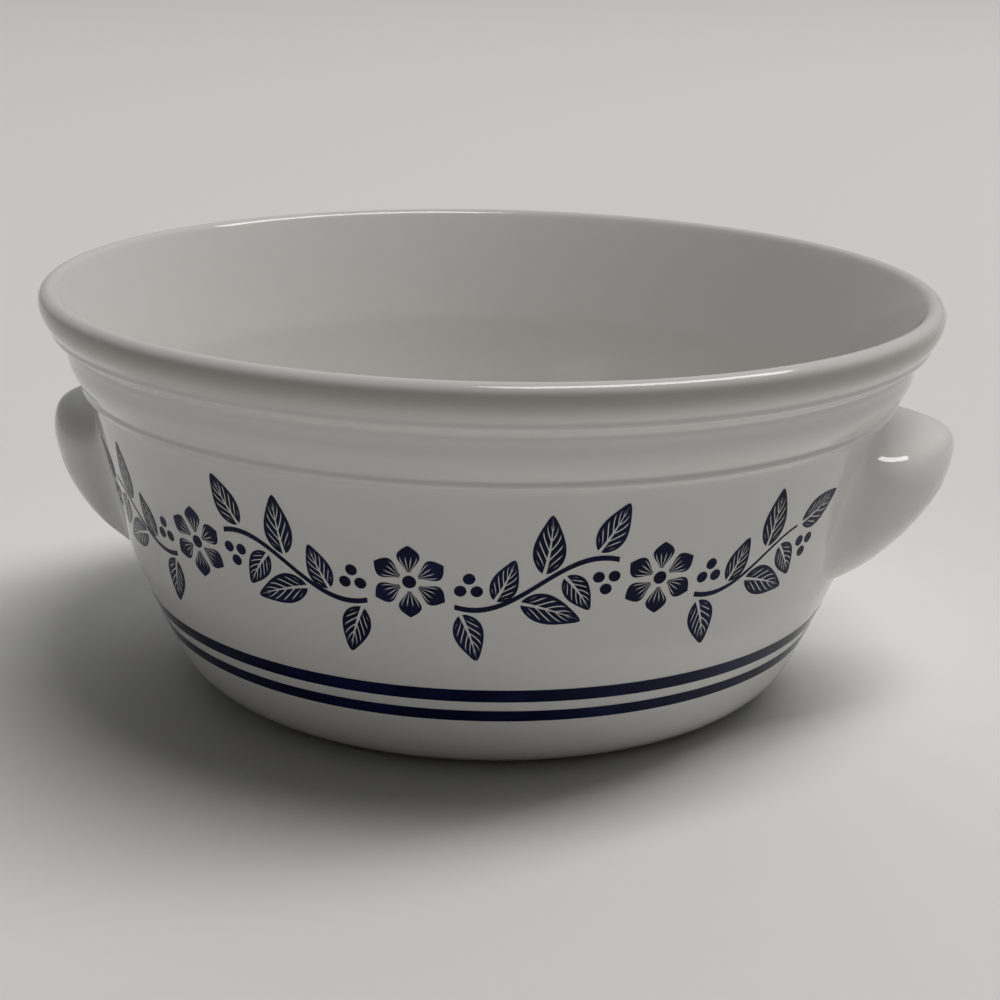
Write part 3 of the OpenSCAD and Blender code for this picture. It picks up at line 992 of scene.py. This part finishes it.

# %% [markdown]
# ## White glaze
# The glaze is a warm white that isn't the same everywhere. It gathers in the grooves and runs
# thin over the ridges. The outer face of the rim, a little below its crest, gets a darker band
# in its colour. It has drifted a little in tone, and it holds a few fine specks. The foot ring
# was wiped clean before firing: its clay is bare, pale and matt.

# %% White glaze
GLAZE_WHITE = (0.79, 0.78, 0.75, 1)
GLAZE_DRIFT = (0.75, 0.745, 0.72, 1)
GLAZE_THIN = (0.76, 0.745, 0.71, 1)
GLAZE_DEEP = (0.74, 0.735, 0.71, 1)
RIM_DARK_BAND = (0.44, 0.425, 0.385, 1)
SPECK_TONE = (0.36, 0.31, 0.24, 1)
BARE_CLAY = (0.62, 0.55, 0.45, 1)
BARE_SAND = (0.50, 0.43, 0.34, 1)
THIN_SHARE = 0.5
PIT_STAIN_SHARE = 0.5
DRIFT_SIZE = 45 * MM
SPECK_CELL = 11 * MM
SPECK_RADIUS = 0.2 * MM
SPECK_RARITY = 0.8
BARE_TOP = 0.9 * MM
BARE_FADE_SHARE = 0.8
BARE_WANDER = 0.5 * MM
BARE_ROUGH = 0.85
SAND_SIZE = 0.7 * MM


def white_glaze():
    """Glaze over pale clay, bare at the foot ring."""
    material, tree, shader = finish("white_glaze")
    pits = glassy(tree, shader, GLAZE_IOR)
    tone = mixed(tree, noise(tree, DRIFT_SIZE), GLAZE_WHITE, GLAZE_DRIFT)
    thin = calc(tree, "MULTIPLY", stored(tree, "edge"), THIN_SHARE)
    tone = mixed(tree, thin, tone, GLAZE_THIN)
    tone = mixed(tree, stored(tree, "groove"), tone, GLAZE_DEEP)
    # a darker band in the colour on the outer face of the rim, a little below its crest
    tone = mixed(tree, stored(tree, "rim"), tone, RIM_DARK_BAND)
    tone = mixed(tree, dots(tree, SPECK_CELL, SPECK_RADIUS, SPECK_RARITY), tone, SPECK_TONE)
    tone = mixed(tree, calc(tree, "MULTIPLY", pits, PIT_STAIN_SHARE), tone, SPECK_TONE)
    height = made(tree, "ShaderNodeSeparateXYZ", "Z", Vector=place_of(tree))
    wander = calc(tree, "MULTIPLY", noise(tree, FLOW_SIZE), BARE_WANDER)
    bare = ramp(tree, calc(tree, "ADD", height, wander), BARE_TOP,
                BARE_FADE_SHARE * BARE_TOP)
    clay = mixed(tree, noise(tree, SAND_SIZE, FINE_DETAIL), BARE_CLAY, BARE_SAND)
    tree.links.new(mixed(tree, bare, tone, clay), shader.inputs["Base Color"])
    gloss = shader.inputs["Roughness"].links[0].from_socket
    matt = made(tree, "ShaderNodeMix", 0, _0=bare, _2=gloss, _3=BARE_ROUGH)
    tree.links.new(matt, shader.inputs["Roughness"])
    return material


glaze = white_glaze()
print("finish:", glaze.name)

# %% [markdown]
# ## Engraved lines
# The leaves and petals were engraved with fine side veins, which print as thin white lines.
# Those follow each shape, so they read the shape's own shares along and across and not the
# bowl's coordinates.

# %% Engraved lines
VEINS = 6
VEIN_SLANT = 2.2
VEIN_SHARE = 0.13
VEIN_END = (0.82, 0.6)
VEIN_ROOT = (0.1, 0.22)
VEIN_TIP = (0.86, 0.7)
PETAL_LINES = 4
PETAL_LINE_SHARE = 0.14
PETAL_LINE_END = (0.62, 0.35)


def sheet_place(tree):
    """A point's place along and across its own printed shape."""
    place = tree.nodes.new("ShaderNodeSeparateXYZ")
    tree.links.new(stored(tree, "sheet", "Vector"), place.inputs["Vector"])
    return place.outputs["X"], place.outputs["Y"]


def line_at(tree, value, share):
    """A thin line wherever the value passes a half between whole numbers."""
    off = calc(tree, "ABSOLUTE", calc(tree, "SUBTRACT", calc(tree, "FRACT", value), 0.5))
    return ramp(tree, off, share, share / 2)


def side_veins(tree):
    """Side veins of half a leaf: lines that lean forwards. They fade before the edge, the
    root and the tip."""
    along, across = sheet_place(tree)
    lean = calc(tree, "SUBTRACT", calc(tree, "MULTIPLY", along, VEINS),
                calc(tree, "MULTIPLY", across, VEIN_SLANT))
    lines = calc(tree, "MULTIPLY", line_at(tree, lean, VEIN_SHARE),
                 ramp(tree, across, *VEIN_END))
    length = calc(tree, "MULTIPLY", ramp(tree, along, *VEIN_ROOT), ramp(tree, along, *VEIN_TIP))
    return calc(tree, "MULTIPLY", lines, length)


def petal_lines(tree):
    """Lines along a petal, from its root to a little past its middle."""
    along, across = sheet_place(tree)
    return calc(tree, "MULTIPLY",
                line_at(tree, calc(tree, "MULTIPLY", across, PETAL_LINES), PETAL_LINE_SHARE),
                ramp(tree, along, *PETAL_LINE_END))


print(f"{VEINS} side veins on each half leaf, {PETAL_LINES} lines on each petal")

# %% [markdown]
# ## Blue print
# The colour is a dense cobalt blue that is almost black where it lies thick. A transfer
# never lies quite evenly: it has cloudy patches, a few pinholes where the white shows, and
# a paler line along its edges. It sits under the glaze, so it is given less shine of its own.

# %% Blue print
INK_IOR = 1.2
INK_DEEP = (0.003, 0.0045, 0.028, 1)
INK_CLOUD = (0.006, 0.010, 0.058, 1)
INK_EDGE = (0.014, 0.020, 0.075, 1)
INK_CLOUD_SIZE = 7 * MM
INK_CLOUD_RAMP = (0.4, 0.75)
INK_EDGE_RAMP = (0.45, 0.5)
INK_HOLE_CELL = 2.6 * MM
INK_HOLE_RADIUS = 0.1 * MM
INK_HOLE_RARITY = 0.9


def blue_print(name, lines=None):
    """Dense blue under the glaze. Lines is a function that adds engraved white lines."""
    material, tree, shader = finish(name)
    glassy(tree, shader, INK_IOR)
    cloud = ramp(tree, noise(tree, INK_CLOUD_SIZE, FINE_DETAIL), *INK_CLOUD_RAMP)
    ink = mixed(tree, cloud, INK_DEEP, INK_CLOUD)
    place = made(tree, "ShaderNodeSeparateXYZ", "Y", Vector=stored(tree, "sheet", "Vector"))
    from_middle = calc(tree, "ABSOLUTE", calc(tree, "SUBTRACT", place, 0.5))
    ink = mixed(tree, ramp(tree, from_middle, *INK_EDGE_RAMP), ink, INK_EDGE)
    holes = dots(tree, INK_HOLE_CELL, INK_HOLE_RADIUS, INK_HOLE_RARITY)
    ink = mixed(tree, holes, ink, GLAZE_DRIFT)
    if lines:
        ink = mixed(tree, lines(tree), ink, GLAZE_WHITE)
    tree.links.new(ink, shader.inputs["Base Color"])
    return material


plain_print = blue_print("blue_print")
leaf_ink = blue_print("blue_leaf_print", side_veins)
petal_ink = blue_print("blue_petal_print", petal_lines)
print("finishes:", [material.name for material in (plain_print, leaf_ink, petal_ink)])

# %% [markdown]
# ## Pieces into the frame
# Each piece now gets its finish and rides on the bowl's one body, and the node that it
# refines is hidden.

# %% Dress and fix the pieces
dressing = [
    (body, "bowl_body", glaze, "glaze"),
    (left_lug, "left_lug", glaze, "glaze"),
    (right_lug, "right_lug", glaze, "glaze"),
    (upper_band, "upper_band", plain_print, "blue_print"),
    (lower_band, "lower_band", plain_print, "blue_print"),
    (stems, "garland_stems", plain_print, "blue_print"),
    (leaves, "garland_leaves", leaf_ink, "blue_print"),
    (flowers, "garland_flowers", petal_ink, "blue_print"),
    (berries, "garland_berries", plain_print, "blue_print"),
]
for piece, node, material, slot_name in dressing:
    piece.data.materials.append(material)
    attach(piece, "root")
    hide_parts(node)
print(len(dressing), "pieces stand for", len(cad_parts), "nodes")

# %% [markdown]
# ## Floor
# The bowl stands on a plain pale floor, large enough to fill the view.

# %% Floor
FLOOR_HALF = 8.0
FLOOR_TONE = (0.86, 0.855, 0.84, 1)
FLOOR_ROUGH = 0.9


def floor_piece():
    """A flat square floor, level with the foot."""
    material, _, shader = finish("plain_floor")
    shader.inputs["Base Color"].default_value = FLOOR_TONE
    shader.inputs["Roughness"].default_value = FLOOR_ROUGH
    mesh = bpy.data.meshes.new("floor")
    corners = [(-1, -1), (1, -1), (1, 1), (-1, 1)]
    mesh.from_pydata([(x * FLOOR_HALF, y * FLOOR_HALF, 0) for x, y in corners], [],
                     [(0, 1, 2, 3)])
    mesh.materials.append(material)
    floor = bpy.data.objects.new("floor", mesh)
    bpy.context.scene.collection.objects.link(floor)
    return floor


ground = floor_piece()
print(f"{ground.name}: {2 * FLOOR_HALF:.0f} m square")

# %% [markdown]
# ## Lamp
# One long soft lamp reaches across the ceiling, from above the bowl to the right-hand back.
# It draws the bright line along the near rim and lights the inside on the left. It hangs
# far away, so the floor is lit evenly.

# %% Lamp
LAMP_AWAY = 6.0
LAMP_FROM = (math.radians(80), math.radians(280))
LAMP_TO = (math.radians(48), math.radians(34))
LAMP_WIDE = 1.64
LAMP_POWER = 214
LAMP_TONE = (1.0, 0.99, 0.97)


def towards(rise, turn):
    """The direction that rises by an angle and is turned round Z from +X by another."""
    return Vector((math.cos(rise) * math.cos(turn), math.cos(rise) * math.sin(turn),
                   math.sin(rise)))


def lamp(name, away, start, end, wide, power):
    """A soft lamp that faces the bowl from some metres away. Seen from there, it reaches
    from one direction to another."""
    middle = (start + end).normalized()
    along = (end - start).normalized()
    data = bpy.data.lights.new(name, "AREA")
    data.shape = "RECTANGLE"
    data.size = 2 * away * math.tan(start.angle(end) / 2)
    data.size_y = wide
    data.energy = power
    data.color = LAMP_TONE
    light = bpy.data.objects.new(name, data)
    light.location = away * middle
    light.rotation_mode = "QUATERNION"
    axes = Matrix((along, middle.cross(along), middle)).transposed()
    light.rotation_quaternion = axes.to_quaternion()
    bpy.context.scene.collection.objects.link(light)
    return light


window = lamp("window", LAMP_AWAY, towards(*LAMP_FROM), towards(*LAMP_TO), LAMP_WIDE,
              LAMP_POWER)
print(f"lamp {window.data.size:.1f} m long and {window.data.size_y:.1f} m wide")

# %% [markdown]
# ## Room
# The room adds a broad glow from above and one from low at the back, as a window would, and
# hardly anything from the front or the left, so the front wall stays in soft shade. Lamp and
# room together are set so that a white surface that faces up comes out about as white as its
# colour says.

# %% Room
ROOM_TONE = (0.98, 0.99, 1.0, 1)
ROOM_EVEN = 0.02
ROOM_SEEN = 0.34
ROOM_GLOWS = [
    # rise, turn, half width, strength
    (math.radians(60), math.radians(70), math.radians(46), 0.36),
    (math.radians(8), math.radians(96), math.radians(54), 0.64),
]


def room():
    """Light from all round that depends only on direction: a little from everywhere, and
    glows that each fade smoothly from a centre to their half width. The camera and the
    glaze's reflections see a plain pale tone behind the floor."""
    world = bpy.data.worlds.new("room")
    world.use_nodes = True
    tree = world.node_tree
    way = made(tree, "ShaderNodeTexCoord", "Generated")
    bright = ROOM_EVEN
    for rise, turn, width, strength in ROOM_GLOWS:
        near = made(tree, "ShaderNodeVectorMath", "Value", {"operation": "DOT_PRODUCT"},
                    _0=way, _1=towards(rise, turn))
        glow = calc(tree, "MULTIPLY", ramp(tree, near, math.cos(width), 1.0), strength)
        bright = calc(tree, "ADD", bright, glow)
    ray = tree.nodes.new("ShaderNodeLightPath").outputs
    seen = calc(tree, "MAXIMUM", ray["Is Camera Ray"], ray["Is Glossy Ray"])
    seen = calc(tree, "MAXIMUM", seen, ray["Is Transmission Ray"])
    bright = made(tree, "ShaderNodeMix", 0, _0=seen, _2=bright, _3=ROOM_SEEN)
    background = tree.nodes["Background"]
    background.inputs["Color"].default_value = ROOM_TONE
    tree.links.new(bright, background.inputs["Strength"])
    bpy.context.scene.world = world


room()
bpy.context.scene.view_settings.view_transform = "Standard"
print(f"{len(ROOM_GLOWS)} glows in the room")
